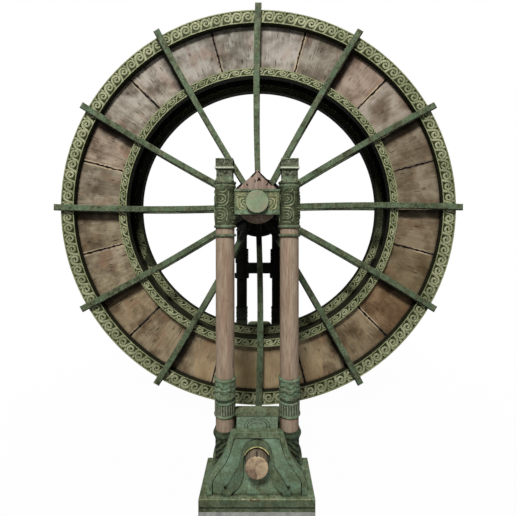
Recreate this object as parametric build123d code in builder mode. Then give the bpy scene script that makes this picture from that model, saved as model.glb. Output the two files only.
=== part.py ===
# A tall water wheel carried between two pairs of wooden posts.
# The wheel has two round shrouds of boards between scroll rings, tied by
# floats and by spokes that lie on the outer faces of the rings.
# Each pair of posts stands in a flared bronze base on a plinth and a footing.
# X runs across the wheel, Y along its axle, Z up; the front faces -Y.
# The origin is on the ground, under the middle of the wheel.

import os

from build123d import *

os.makedirs("parts", exist_ok=True)

# Wheel
eye_radius = 2010
eye_band = 119
board_length = 685
rim_band = 196
rail_width = 16
channel_depth = 12
ring_depth = 128
wheel_width = 724
board_thickness = 28
board_seam = 5
boards_per_spoke = 2
float_thickness = 30
float_inset = 12

# Spokes and hub
spoke_count = 12
spoke_overhang = 72
spoke_tip_width = 98
spoke_root_width = 84
spoke_thickness = 64
spoke_bow = 30
spoke_chamfer = 6
hub_radius = 450
hub_thickness = 128

# Axle
ground_gap = 318
axle_radius = 250
axle_half_length = 1430
axle_end_gap = 73
gudgeon_radius = 90
gudgeon_tail = 260
cap_radius = 128
cap_thickness = 34
cap_round = 9

# Posts
post_spacing = 740
post_radius = 108
post_top_gap = 15

# Heights in a capital, above or below the axle
capital_top_rise = 490
fillet_rise = 393
fillet_height = 20
tier_rise = 235
neck_rise = 203
capital_sleeve_rise = 152
capital_sleeve_drop = 263
capital_ring_drop = 298
band_drop = 367
band_height = 29

# Heights in a lower sleeve and a foot sleeve, above the plinth
sleeve_top_level = 1166
rim_level = 1129
upper_ridge_level = 1033
lower_ridge_level = 946
ridge_height = 18
sleeve_foot_level = 937
lip_top_level = 900
lip_level = 879
flute_rim_level = 757
lower_sleeve_level = 728
collar_top_level = 572
collar_level = 480
collar_swell = 62

# Sizes of the dress
cap_half_side = 98
fillet_half_side = 108
tier_half_side = 90
tier_flare = 14
tier_flare_height = 36
panel_margin = 15
panel_depth = 6
moulding_radius = 129
neck_radius = 125
sleeve_radius = 117
lower_sleeve_radius = 119
lower_rim_radius = 127
ridge_radius = 124
lip_radius = 121
neck_groove_radius = 113
flute_count = 24
flute_width = 14
skirt_radius = 113
skirt_foot_radius = 117
stage_overlap = 5
foot_collar_radius = 136
foot_lip_radius = 120
foot_sleeve_radius = 112

# Bearing and gable
bearing_height = 284
bearing_depth = 160
bearing_wrap = 6
bearing_cornice = 24
bearing_chamfer = 14
cornice_lip = 9
gable_rise = 390
gable_drop = 140
gable_half_width = 235
gable_thickness = 52

# Base
base_margin = 250
base_depth = 630
footing_height = 100
step_height = 37
plinth_height = 97
plinth_chamfer = 5
step_groove = 14
body_side_inset = 82
body_face_inset = 50
body_height = 670
face_thickness = 80
face_recess = 16
edge_band = 54
edge_groove = 9
edge_groove_depth = 14
core_height = 616
core_half = 225
hood_proud = 12
hood_hole_radius = 145
log_rim_radius = 136
log_rim_wire = 9
crest_height = 152
crest_thickness = 85
crest_setback = 156
crest_half = 240
slab_height = 54
slab_lip = 10
slab_bevel = 62
slab_bevel_height = 28
arch_half = 143
arch_rise = 98
arch_band = 22
arch_proud = 7
stub_radius = 120
stub_height = 389
stub_overhang = 132
stub_chamfer = 7

# Tie beam between the back posts, with a collar on each post
tie_level = 1872
tie_height = 217
tie_thickness = 120
tie_ring_radius = 152
tie_ring_height = 96
rib_count = 7
rib_pitch = 42
rib_radius = 143
rib_core_radius = 122

# Clearances
seat_gap = 0.3
running_gap = 0.05
turning_gap = 6
overrun = 20

# Worked out
half_width = wheel_width / 2
eye_outer = eye_radius + eye_band
rim_inner = eye_outer + board_length
rim_radius = rim_inner + rim_band
spoke_tip = rim_radius + spoke_overhang
axle_height = spoke_tip + ground_gap
half_spacing = post_spacing / 2
stand_offset = axle_half_length + axle_end_gap + bearing_depth / 2
base_width = post_spacing + 2 * base_margin
plinth_bottom = footing_height + step_height
plinth_top = plinth_bottom + plinth_height
body_foot_half = base_width / 2 - body_side_inset
body_depth = base_depth - 2 * body_face_inset
core_top = plinth_top + core_height
stub_z = plinth_top + stub_height
post_top = axle_height + tier_rise - post_top_gap

# Seen from the front: sketch x to the right, sketch y up
front_face = Plane(origin=(0, -half_width, axle_height), x_dir=(1, 0, 0), z_dir=(0, -1, 0))
wheel_middle = Plane(origin=(0, 0, axle_height), x_dir=(1, 0, 0), z_dir=(0, -1, 0))
stand_front = Plane(origin=(0, -stand_offset, 0), x_dir=(1, 0, 0), z_dir=(0, -1, 0))


def save(piece, name):
    """Label one finished piece and write it."""
    piece.part.label = name
    export_step(piece.part, f"parts/{name}.step")


def save_pair(piece, name):
    """Write a front piece, and its mirror image behind the wheel."""
    save(piece, f"front_{name}")
    with BuildPart() as twin:
        mirror(piece.part, about=Plane.XZ)
    save(twin, f"back_{name}")


def save_four(piece, name):
    """Write the dress of the front right post, and of the three others."""
    save_pair(piece, f"right_{name}")
    with BuildPart() as twin:
        mirror(piece.part, about=Plane.YZ)
    save_pair(twin, f"left_{name}")


# Shroud rings: bronze hoops, two on each side of the wheel
def shroud_ring(outer, inner):
    """One hoop with a sunk channel between rails on both faces."""
    with BuildPart() as hoop:
        with BuildSketch(front_face):
            Circle(outer)
            Circle(inner, mode=Mode.SUBTRACT)
        extrude(amount=-ring_depth)
        for face, inward in ((front_face, -channel_depth), (front_face.offset(-ring_depth), channel_depth)):
            with BuildSketch(face):
                Circle(outer - rail_width)
                Circle(inner + rail_width, mode=Mode.SUBTRACT)
            extrude(amount=inward, mode=Mode.SUBTRACT)
    return hoop


outer_ring = shroud_ring(rim_radius, rim_inner)
save_pair(outer_ring, "outer_ring")

inner_ring = shroud_ring(eye_outer, eye_radius)
save_pair(inner_ring, "inner_ring")

# Shroud boards: short planks between the rings, flush with the inner faces
board_count = spoke_count * boards_per_spoke
board_plane = front_face.offset(board_thickness - ring_depth)
with BuildPart() as boards:
    with BuildSketch(board_plane):
        Circle(rim_inner - seat_gap)
        Circle(eye_outer + seat_gap, mode=Mode.SUBTRACT)
        with PolarLocations(rim_inner / 2, board_count):
            Rectangle(rim_inner, board_seam, mode=Mode.SUBTRACT)
    extrude(amount=-board_thickness)
save_pair(boards, "boards")

# Floats: radial paddles between the two shrouds
float_length = rim_radius - eye_outer - 2 * float_inset
float_half_span = half_width - ring_depth
with BuildPart() as floats:
    with BuildSketch(wheel_middle):
        with PolarLocations(eye_outer + float_inset + float_length / 2, board_count):
            Rectangle(float_length, float_thickness)
    extrude(amount=float_half_span, both=True)
save(floats, "floats")

# Spokes: long flat bars, a little bowed, lying on the rings and the hub
spoke_root = axle_radius + seat_gap
spoke_middle = (spoke_root + spoke_tip) / 2
spoke_middle_width = (spoke_root_width + spoke_tip_width) / 2
with BuildSketch() as spoke_outline:
    with BuildLine():
        ThreePointArc(
            (spoke_root, spoke_root_width / 2),
            (spoke_middle, spoke_bow + spoke_middle_width / 2),
            (spoke_tip, spoke_tip_width / 2),
        )
        Line((spoke_tip, spoke_tip_width / 2), (spoke_tip, -spoke_tip_width / 2))
        ThreePointArc(
            (spoke_tip, -spoke_tip_width / 2),
            (spoke_middle, spoke_bow - spoke_middle_width / 2),
            (spoke_root, -spoke_root_width / 2),
        )
        Line((spoke_root, -spoke_root_width / 2), (spoke_root, spoke_root_width / 2))
    make_face()

with BuildPart() as spokes:
    with BuildSketch(front_face):
        with PolarLocations(0, spoke_count):
            add(spoke_outline.sketch)
    extrude(amount=spoke_thickness)
    chamfer(spokes.faces().group_by(Axis.Y)[0].edges(), spoke_chamfer)
save_pair(spokes, "spokes")

# Hubs: thick round flanges that the spokes lie on
with BuildPart() as hub:
    with BuildSketch(front_face):
        Circle(hub_radius)
        Circle(axle_radius + seat_gap, mode=Mode.SUBTRACT)
    extrude(amount=-hub_thickness)
save_pair(hub, "hub")

# Axle: a round log, bored at both ends for its gudgeons
with BuildPart() as axle:
    with BuildSketch(wheel_middle):
        Circle(axle_radius)
    extrude(amount=axle_half_length, both=True)
    for end in (wheel_middle.offset(axle_half_length), wheel_middle.offset(-axle_half_length)):
        with BuildSketch(end):
            Circle(gudgeon_radius + seat_gap)
        inward = -gudgeon_tail if end.origin.Y < 0 else gudgeon_tail
        extrude(amount=inward, mode=Mode.SUBTRACT)
save(axle, "axle_log")

# Gudgeons: bronze pins in the log's ends, each with a round cap outside its bearing
bearing_front = stand_offset + bearing_depth / 2
cap_back = bearing_front + cornice_lip + turning_gap
with BuildPart() as gudgeon:
    with BuildSketch(wheel_middle.offset(axle_half_length - gudgeon_tail)):
        Circle(gudgeon_radius)
    extrude(amount=cap_back - axle_half_length + gudgeon_tail)
    with BuildSketch(wheel_middle.offset(cap_back)):
        Circle(cap_radius)
    extrude(amount=cap_thickness)
    fillet(gudgeon.faces().sort_by(Axis.Y)[0].edges(), cap_round)
save_pair(gudgeon, "gudgeon")

# Bearings: blocks with a cornice, hollowed to fit round the capital sleeves
bearing_half = half_spacing - sleeve_radius + bearing_wrap
with BuildPart() as bearing:
    with BuildSketch(stand_front):
        with Locations((0, axle_height)):
            Rectangle(2 * bearing_half, bearing_height)
            Circle(gudgeon_radius + running_gap, mode=Mode.SUBTRACT)
    extrude(amount=bearing_depth / 2, both=True)
    chamfer(bearing.edges().filter_by(Axis.Z), bearing_chamfer)
    with BuildSketch(stand_front):
        with Locations((0, axle_height + (bearing_height - bearing_cornice) / 2)):
            Rectangle(2 * bearing_half, bearing_cornice)
    extrude(amount=bearing_depth / 2 + cornice_lip, both=True)
    with BuildSketch(Plane.XY.offset(axle_height - bearing_height)):
        with Locations((half_spacing, -stand_offset), (-half_spacing, -stand_offset)):
            Circle(sleeve_radius + seat_gap)
    extrude(amount=2 * bearing_height, mode=Mode.SUBTRACT)
save_pair(bearing, "bearing")

# Gable boards: house-shaped boards against the bearings, in front of the log's ends
gable_eave = gable_rise - gable_half_width
gable_plane = stand_front.offset(-bearing_depth / 2 - cornice_lip - seat_gap)
with BuildPart() as gable:
    with BuildSketch(gable_plane):
        with BuildLine():
            Polyline(
                (0, axle_height + gable_rise),
                (gable_half_width, axle_height + gable_eave),
                (gable_half_width, axle_height - gable_drop),
                (-gable_half_width, axle_height - gable_drop),
                (-gable_half_width, axle_height + gable_eave),
                close=True,
            )
        make_face()
        with Locations((0, axle_height)):
            Circle(gudgeon_radius + turning_gap, mode=Mode.SUBTRACT)
    extrude(amount=-gable_thickness)
save_pair(gable, "gable_board")

# Posts: round shafts that stand on the plinths
with BuildPart() as post:
    with BuildSketch(Plane.XY.offset(plinth_top)):
        with Locations((half_spacing, -stand_offset)):
            Circle(post_radius)
    extrude(amount=post_top - plinth_top)
save_four(post, "post")


on_ground = (Align.CENTER, Align.CENTER, Align.MIN)


def drum(radius, bottom, top):
    """One round stage of a fitting on the post's axis."""
    with Locations((half_spacing, -stand_offset, bottom)):
        Cylinder(radius, top - bottom, align=on_ground)


def bead(radius, bottom, top):
    """One rounded ring of a fitting, as wide as it is high."""
    roundness = (top - bottom) / 2
    with Locations((half_spacing, -stand_offset, bottom + roundness)):
        Torus(radius - roundness, roundness)


def tier(half_side, bottom, top):
    """One square stage of a capital on the post's axis."""
    with Locations((half_spacing, -stand_offset, bottom)):
        Box(2 * half_side, 2 * half_side, top - bottom, align=on_ground)


def sunk_panels(half_side, bottom, top):
    """Cut a framed panel into each of the four sides of a square stage."""
    width = 2 * (half_side - panel_margin)
    with Locations((half_spacing, -stand_offset, bottom + panel_margin)):
        with PolarLocations(half_side, 4):
            Box(
                2 * panel_depth,
                width,
                top - bottom - 2 * panel_margin,
                align=on_ground,
                mode=Mode.SUBTRACT,
            )


def post_bore(bottom, top):
    """Cut the room that a fitting leaves for its post."""
    with Locations((half_spacing, -stand_offset, bottom)):
        Cylinder(post_radius + seat_gap, top - bottom, align=on_ground, mode=Mode.SUBTRACT)


# Capitals: bronze castings over the post heads, with a loose band below
capital_top = axle_height + capital_top_rise
fillet_top = axle_height + fillet_rise
fillet_bottom = fillet_top - fillet_height
tier_bottom = axle_height + tier_rise
flare_top = tier_bottom + tier_flare_height
neck_bottom = axle_height + neck_rise
capital_sleeve_top = axle_height + capital_sleeve_rise
capital_sleeve_foot = axle_height - capital_sleeve_drop
capital_ring_foot = axle_height - capital_ring_drop
band_top = axle_height - band_drop
band_bottom = band_top - band_height
with BuildPart() as capital:
    bead(moulding_radius, capital_ring_foot, capital_sleeve_foot)
    drum(sleeve_radius, capital_ring_foot, tier_bottom)
    bead(neck_radius, capital_sleeve_top, neck_bottom)
    bead(moulding_radius, neck_bottom, tier_bottom)
    with BuildSketch(Plane.XY.offset(tier_bottom)):
        with Locations((half_spacing, -stand_offset)):
            Rectangle(2 * (tier_half_side + tier_flare), 2 * (tier_half_side + tier_flare))
    with BuildSketch(Plane.XY.offset(flare_top)):
        with Locations((half_spacing, -stand_offset)):
            Rectangle(2 * tier_half_side, 2 * tier_half_side)
    loft()
    tier(tier_half_side, flare_top, fillet_bottom)
    tier(fillet_half_side, fillet_bottom, fillet_top)
    tier(cap_half_side, fillet_top, capital_top)
    sunk_panels(tier_half_side, flare_top, fillet_bottom)
    sunk_panels(cap_half_side, fillet_top, capital_top)
    drum(sleeve_radius, band_bottom, band_top)
    bead(moulding_radius, band_bottom, band_top)
    post_bore(band_bottom - overrun, post_top + seat_gap)
save_four(capital, "capital")

# Lower sleeves: a ridged bronze sleeve over a fluted skirt
lower_sleeve_bottom = plinth_top + lower_sleeve_level
flute_rim = plinth_top + flute_rim_level
skirt_foot = (lower_sleeve_bottom + flute_rim) / 2
lip_bottom = plinth_top + lip_level
lip_top = plinth_top + lip_top_level
sleeve_foot = plinth_top + sleeve_foot_level
rim_bottom = plinth_top + rim_level
lower_sleeve_top = plinth_top + sleeve_top_level
with BuildPart() as lower_sleeve:
    bead(lower_rim_radius, rim_bottom, lower_sleeve_top)
    drum(lower_sleeve_radius, sleeve_foot, lower_sleeve_top - stage_overlap)
    for level in (upper_ridge_level, lower_ridge_level):
        bead(ridge_radius, plinth_top + level, plinth_top + level + ridge_height)
    drum(neck_groove_radius, lip_bottom, sleeve_foot)
    bead(lip_radius, lip_bottom - stage_overlap, lip_top)
    with Locations((half_spacing, -stand_offset, skirt_foot)):
        Cone(skirt_foot_radius, skirt_radius, lip_bottom - skirt_foot, align=on_ground)
        with PolarLocations(skirt_radius, flute_count):
            Cylinder(flute_width / 2, lip_bottom - skirt_foot, align=on_ground)
    bead(lower_rim_radius, lower_sleeve_bottom, flute_rim)
    post_bore(lower_sleeve_bottom - overrun, lower_sleeve_top + overrun)
save_four(lower_sleeve, "lower_sleeve")

# Foot sleeves: round sleeves on the plinth, each with a swelling collar
foot_collar_bottom = plinth_top + collar_level
foot_collar_top = plinth_top + collar_top_level
swell_bottom = (foot_collar_bottom + foot_collar_top - collar_swell) / 2
with BuildPart() as foot_sleeve:
    drum(foot_sleeve_radius, plinth_top, foot_collar_bottom)
    drum(foot_lip_radius, foot_collar_bottom, foot_collar_top)
    bead(foot_collar_radius, swell_bottom, swell_bottom + collar_swell)
    post_bore(plinth_top, foot_collar_top + overrun)
save_four(foot_sleeve, "foot_sleeve")

# Footings: plain stone blocks on the ground
with BuildPart() as footing:
    with BuildSketch():
        with Locations((0, -stand_offset)):
            Rectangle(base_width, base_depth)
    extrude(amount=footing_height)
save_pair(footing, "footing")

# Plinths: a low step, a narrow groove and the plinth slab, one casting
with BuildPart() as plinth:
    with BuildSketch(Plane.XY.offset(footing_height)):
        with Locations((0, -stand_offset)):
            Rectangle(base_width, base_depth)
    extrude(amount=step_height)
    with BuildSketch(Plane.XY.offset(plinth_bottom)):
        with Locations((0, -stand_offset)):
            Rectangle(base_width - 2 * step_groove, base_depth - 2 * step_groove)
    extrude(amount=step_groove)
    with BuildSketch(Plane.XY.offset(plinth_bottom + step_groove)):
        with Locations((0, -stand_offset)):
            Rectangle(base_width, base_depth)
    extrude(amount=plinth_height - step_groove)
    chamfer(plinth.faces().sort_by(Axis.Z)[-1].edges(), plinth_chamfer)
save_pair(plinth, "plinth")

# Base bodies: flared bronze faces before and behind the posts, on a core between them
shoulder_shares = (
    (0.944, 0.313),
    (0.857, 0.415),
    (0.753, 0.518),
    (0.665, 0.65),
    (0.605, 0.79),
    (0.555, 0.93),
)
foot_share = 0.157
top_share = 0.41
hood_crown_share = 0.892
hood_shares = ((0.19, 0.835), (0.267, 0.746), (0.319, 0.583), (0.371, 0.421), (0.508, 0.26), (0.644, 0.111))
hood_foot_share = 0.67
opening_shares = ((0.3, 0.25), (0.439, 0.09))
opening_foot_share = 0.516


def on_face(shares):
    """Points of the base's face, from shares of its half width and its height."""
    return [
        (x_share * body_foot_half, plinth_top + z_share * body_height)
        for x_share, z_share in shares
    ]


def face_sketch(inset):
    """The flared face, or what is left of it inside a band along its edge."""
    rim = [Vector(*point) for point in on_face(((1, foot_share), *shoulder_shares, (top_share, 1)))]
    ahead = [*rim[1:], rim[-1] - Vector(edge_band, 0)]
    behind = [rim[0] - Vector(0, edge_band), *rim[:-1]]
    ways = [(later - earlier).normalized() for later, earlier in zip(ahead, behind)]
    ways[0], ways[-1] = Vector(0, 1), Vector(-1, 0)
    rail = [point + inset * Vector(-way.Y, way.X) for point, way in zip(rim, ways)]
    with BuildSketch() as outline:
        with BuildLine():
            Line((0, plinth_top), (rail[0].X, plinth_top))
            Line((rail[0].X, plinth_top), rail[0])
            Spline(*rail, tangents=(ways[0], ways[-1]))
            Line(rail[-1], (0, rail[-1].Y))
            Line((0, rail[-1].Y), (0, plinth_top))
        make_face()
        mirror(about=Plane.YZ)
    return outline.sketch


body_face = stand_front.offset(body_depth / 2)
with BuildSketch() as hood_outline:
    with BuildLine():
        hood_crown, hood_foot, middle = on_face(((0, hood_crown_share), (hood_foot_share, 0), (0, 0)))
        Spline(hood_crown, *on_face(hood_shares), hood_foot, tangents=((1, 0), (0, -1)))
        Line(hood_foot, middle)
        Line(middle, hood_crown)
    make_face()
    mirror(about=Plane.YZ)

with BuildSketch() as hood_opening:
    with BuildLine():
        opening_foot, middle = on_face(((opening_foot_share, 0), (0, 0)))
        Line((0, stub_z), (hood_hole_radius, stub_z))
        Spline((hood_hole_radius, stub_z), *on_face(opening_shares), opening_foot, tangents=((0, -1), (0, -1)))
        Line(opening_foot, middle)
        Line(middle, (0, stub_z))
    make_face()
    mirror(about=Plane.YZ)
    with Locations((0, stub_z)):
        Circle(hood_hole_radius)

with BuildPart() as base_body:
    with BuildSketch(body_face):
        add(face_sketch(0))
    extrude(amount=-face_thickness)
    with BuildSketch(body_face):
        add(face_sketch(edge_band))
    extrude(amount=-face_recess, mode=Mode.SUBTRACT)
    with BuildSketch(body_face.offset(-face_recess)):
        add(face_sketch(edge_band))
        add(face_sketch(edge_band + edge_groove), mode=Mode.SUBTRACT)
    extrude(amount=-edge_groove_depth, mode=Mode.SUBTRACT)
    with BuildSketch(body_face.offset(-face_recess)):
        add(hood_outline.sketch)
        add(hood_opening.sketch, mode=Mode.SUBTRACT)
    extrude(amount=face_recess + hood_proud)
    with Locations(Plane(origin=(0, -stand_offset - body_depth / 2 + face_recess, stub_z), z_dir=(0, -1, 0))):
        Torus(log_rim_radius - log_rim_wire, log_rim_wire)
    with BuildSketch(stand_front):
        with Locations((0, plinth_top + core_height / 2)):
            Rectangle(2 * core_half, core_height)
    extrude(amount=body_depth / 2 - face_thickness)
    mirror(about=Plane.XZ.offset(stand_offset))
    with BuildSketch(stand_front):
        with Locations((0, stub_z)):
            Circle(stub_radius + seat_gap)
    extrude(amount=body_depth, both=True, mode=Mode.SUBTRACT)
save_pair(base_body, "base")

# Log stubs: short round timbers through the base bodies
stub_reach = body_depth / 2 + stub_overhang
with BuildPart() as stub:
    with BuildSketch(stand_front):
        with Locations((0, stub_z)):
            Circle(stub_radius)
    extrude(amount=stub_reach, both=True)
    chamfer(stub.edges().filter_by(GeomType.CIRCLE), stub_chamfer)
save_pair(stub, "log_stub")

# Crests: an upright panel with an arch on it and a bevelled slab on top
slab_foot = core_top + crest_height
slab_top = slab_foot + slab_height
crest_front = body_face.offset(-crest_setback)
arch_outer = (arch_half**2 + arch_rise**2) / (2 * arch_rise)
with BuildPart() as crest:
    with BuildSketch(crest_front):
        with Locations((0, core_top + crest_height / 2)):
            Rectangle(2 * (crest_half - slab_lip), crest_height)
    extrude(amount=-crest_thickness)
    with BuildSketch(crest_front):
        with Locations((0, core_top + arch_rise - arch_outer)):
            Circle(arch_outer)
            Circle(arch_outer - arch_band, mode=Mode.SUBTRACT)
        with Locations((0, core_top + crest_height / 2)):
            Rectangle(2 * (crest_half - slab_lip), crest_height, mode=Mode.INTERSECT)
    extrude(amount=arch_proud)
    with BuildSketch(crest_front):
        with BuildLine():
            Polyline(
                (crest_half, slab_foot),
                (crest_half, slab_top - slab_bevel_height),
                (crest_half - slab_bevel, slab_top),
                (slab_bevel - crest_half, slab_top),
                (-crest_half, slab_top - slab_bevel_height),
                (-crest_half, slab_foot),
                close=True,
            )
        make_face()
    extrude(amount=slab_lip)
    with BuildSketch(crest_front):
        add(crest.faces().sort_by(Axis.Y)[0])
    extrude(amount=-crest_thickness)
save_pair(crest, "crest")

# Tie beam: only behind the wheel, with a ribbed collar and a ring round each post
tie_bottom = plinth_top + tie_level
tie_top = tie_bottom + tie_height
collar_height = rib_count * rib_pitch
tie_plane = Plane(origin=(0, stand_offset, 0), x_dir=(1, 0, 0), z_dir=(0, -1, 0))
back_posts = ((half_spacing, stand_offset), (-half_spacing, stand_offset))
with BuildPart() as tie_beam:
    with BuildSketch(tie_plane):
        with Locations((0, tie_bottom + tie_height / 2)):
            Rectangle(post_spacing, tie_height)
    extrude(amount=tie_thickness / 2, both=True)
    for post_x, post_y in back_posts:
        with Locations((post_x, post_y, tie_bottom - tie_ring_height)):
            Cylinder(tie_ring_radius, tie_ring_height, align=on_ground)
        with Locations((post_x, post_y, tie_bottom)):
            Cylinder(rib_core_radius, tie_height + collar_height, align=on_ground)
        for rib in range(rib_count):
            with Locations((post_x, post_y, tie_top + (rib + 1 / 2) * rib_pitch)):
                Torus(rib_radius - rib_pitch / 2, rib_pitch / 2)
    bore_length = tie_ring_height + tie_height + collar_height + overrun
    for post_x, post_y in back_posts:
        with Locations((post_x, post_y, tie_bottom - tie_ring_height)):
            Cylinder(post_radius + seat_gap, bore_length, align=on_ground, mode=Mode.SUBTRACT)
save(tie_beam, "back_tie_beam")
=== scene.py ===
import functools
import math

import bpy
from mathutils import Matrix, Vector


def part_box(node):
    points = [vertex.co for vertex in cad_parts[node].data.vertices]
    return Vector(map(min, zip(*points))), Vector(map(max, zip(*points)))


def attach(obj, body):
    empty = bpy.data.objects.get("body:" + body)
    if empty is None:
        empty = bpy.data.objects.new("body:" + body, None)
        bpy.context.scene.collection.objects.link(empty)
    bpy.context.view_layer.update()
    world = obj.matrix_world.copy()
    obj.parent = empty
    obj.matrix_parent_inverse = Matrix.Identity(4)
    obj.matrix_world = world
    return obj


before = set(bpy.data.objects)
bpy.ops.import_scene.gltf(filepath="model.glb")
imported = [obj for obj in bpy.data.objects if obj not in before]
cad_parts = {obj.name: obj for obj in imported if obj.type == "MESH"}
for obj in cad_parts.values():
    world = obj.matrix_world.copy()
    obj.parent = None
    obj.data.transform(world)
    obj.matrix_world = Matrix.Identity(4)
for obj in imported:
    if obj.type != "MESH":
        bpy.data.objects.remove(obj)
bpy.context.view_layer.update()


# Footing stones
# Plain blocks of pale sawn limestone under the plinths. They lie on the ground
# and spread the weight of the stands.
def linear(code):
    """An sRGB hex colour as the linear colour that a shader takes."""
    parts = [int(code[i : i + 2], 16) / 255 for i in (1, 3, 5)]
    return [c / 12.92 if c <= 0.04045 else ((c + 0.055) / 1.055) ** 2.4 for c in parts] + [1]


def put_node(tree, kind, *values, stops=(), **named):
    """Add a node of this kind, with the operation or blend that may follow the kind.

    Values go to its sockets in order, named values with a capital go to the
    sockets of that name, and the others are its settings. Stops are a ramp's.
    """
    kind, _, way = kind.partition(" ")
    node = tree.nodes.new("ShaderNode" + kind)
    if way:
        setattr(node, "blend_type" if kind == "MixRGB" else "operation", way)
    sockets = dict(enumerate(values))
    for key, value in named.items():
        if key[0].isupper():
            sockets[key.replace("_", " ")] = value
        else:
            setattr(node, key, value)
    for key, value in sockets.items():
        if isinstance(value, bpy.types.Node):
            value = value.outputs[0]
        if isinstance(value, bpy.types.NodeSocket):
            tree.links.new(value, node.inputs[key])
        else:
            node.inputs[key].default_value = linear(value) if isinstance(value, str) else value
    for order, (position, shade) in enumerate(stops):
        while len(node.color_ramp.elements) <= order:
            node.color_ramp.elements.new(position)
        node.color_ramp.elements[order].position = position
        node.color_ramp.elements[order].color = linear(shade)
    return node


def new_material(name):
    """A new material, the function that adds nodes to it, and the Object coordinates."""
    made = bpy.data.materials.new(name)
    made.use_nodes = True
    made.node_tree.nodes["Principled BSDF"].inputs["Specular IOR Level"].default_value = 0.12
    put = functools.partial(put_node, made.node_tree)
    return made, put, put("TexCoord").outputs["Object"]


def coat(made, tone, roughness, height, depth):
    """Give the shader its colour, its roughness and a bump of this depth in metres."""
    tree = made.node_tree
    shader = tree.nodes["Principled BSDF"]
    shader.inputs["Roughness"].default_value = roughness
    bump = put_node(tree, "Bump", Height=height, Distance=depth, Strength=1.0)
    tree.links.new(tone.outputs[0], shader.inputs["Base Color"])
    tree.links.new(bump.outputs[0], shader.inputs["Normal"])


def clad(made, *nodes):
    """Give CAD nodes this material in their own slots."""
    for name in nodes:
        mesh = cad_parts[name].data
        mesh.materials.clear()
        mesh.materials.append(made)


def darken(put, tone, strength, pattern, *stops):
    """Multiply a tone by a ramp over a pattern."""
    return put("MixRGB MULTIPLY", strength, tone, put("ValToRGB", pattern, stops=stops))


# Sawn limestone: pale grey, with faint upright saw bands about 90 mm wide and a fine grit.
# A noise's Scale is the number of its patches in a metre, here and in every other material.
stone, put, place = new_material("sawn_limestone")
bands = put("TexNoise", put("Mapping", place, Scale=(11, 11, 0.6)), Scale=1.0, Detail=3.0)
grit = put("TexNoise", place, Scale=90.0, Detail=6.0)
tone = put("ValToRGB", bands, stops=((0.3, "#8f908c"), (0.7, "#b3b4ae")))
tone = darken(put, tone, 0.5, grit, (0.35, "#9c9c98"), (0.6, "#ffffff"))
coat(stone, tone, 0.85, grit, 0.003)
clad(stone, "front_footing", "back_footing")


# Plinths, bases and crests
# Heavy bronze castings under a thick green patina. Plinth, base and crest stand
# on each other, and the post sleeves stand between the two faces of the base.
plinth_low, plinth_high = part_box("front_plinth")
plinth_z = plinth_high.z
plinth_half = (plinth_high.y - plinth_low.y) / 2
stand_middle = -(plinth_low.y + plinth_high.y) / 2
stub_low, stub_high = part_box("front_log_stub")
log_z = (stub_low.z + stub_high.z) / 2
base_face = 0.265
face_recess = 0.016
slab_height = 0.054
panel_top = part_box("front_crest")[1].z - slab_height
panel_height = 0.2
arch_drop = 0.118
arch_half = 0.143
arch_rise = 0.098
arch_step = 0.028
arch_line = 0.008
close = 0.004
# Heights between which the painted shade on the stands' wheel sides fades in and becomes full
shade_low = 0.75
shade_high = 1.15
plinth_edge = 0.013
scar_ends = (-0.07, 0.035)
rub_ends = (-0.16, 0.3)


def all_of(put, *masks):
    """One where all of these masks are one."""
    return functools.reduce(lambda first, second: put("Math MULTIPLY", first, second), masks)


def within(put, value, low, high):
    """One where the value lies between low and high, else nothing."""
    return put("Math COMPARE", value, (low + high) / 2, (high - low) / 2)


def tint(put, tone, mask, shade, strength=1.0):
    """Mix a colour over a tone where the mask is one."""
    return put("MixRGB", put("Math MULTIPLY", mask, strength), tone, shade)


def patches(put, tone, pattern, low, high, level, shade):
    """Mix a colour in where a pattern rises from low to high, up to this grey level."""
    return put("MixRGB", put("ValToRGB", pattern, stops=((low, "#000000"), (high, level))), tone, shade)


def worn_and_highlit_edge(put, place):
    """A mask along sharp outward edges, where hands and water have rubbed and a highlight is painted, broken
    by noise.
    """
    width = 0.007
    rounded = put("Bevel", width, samples=4)
    bend = put("VectorMath DOT_PRODUCT", rounded, put("NewGeometry").outputs["Normal"]).outputs["Value"]
    edge = put("MapRange", bend, 0.99, 0.86)
    out = put("AmbientOcclusion", samples=4, only_local=True, Distance=3 * width).outputs["AO"]
    patchy = put("MapRange", put("TexNoise", place, Scale=22.0, Detail=5.0), 0.42, 0.6)
    return all_of(put, edge, put("MapRange", out, 0.9, 1.0), put("Math MULTIPLY", patchy, 0.75))


def grime_and_shade(put, tone, reach, shade="#15160f"):
    """Dirt that gathers in corners within this reach, in metres, together with painted shade that falls
    there.
    """
    open_air = put("AmbientOcclusion", samples=6, Distance=reach).outputs["AO"]
    clean_and_lit = put("ValToRGB", open_air, stops=((0.35, "#000000"), (0.72, "#ffffff")))
    return put("MixRGB", clean_and_lit, shade, tone)


def wheel_side_shade(put, place, tone):
    """Painted shade: near black on the sides of the stands that look at the wheel, from the posts' feet up.
    """
    wheel_side = 0.5
    _, y, z = put("SeparateXYZ", place).outputs
    away = put("Math ABSOLUTE", y)
    stands = put("Math GREATER_THAN", away, wheel_side)
    shade_mask = put("MapRange", away, stand_middle - 0.03, stand_middle - 0.08)
    shade_mask = all_of(put, shade_mask, put("MapRange", z, shade_low, shade_high), stands)
    return tint(put, tone, shade_mask, "#0a0b08", 0.93)


def stand_depth(put, place):
    """Distance from the middle of the stand, along the axle, on either side of the wheel."""
    y = put("SeparateXYZ", place).outputs[1]
    return put("Math ABSOLUTE", put("Math SUBTRACT", put("Math ABSOLUTE", y), stand_middle))


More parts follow.
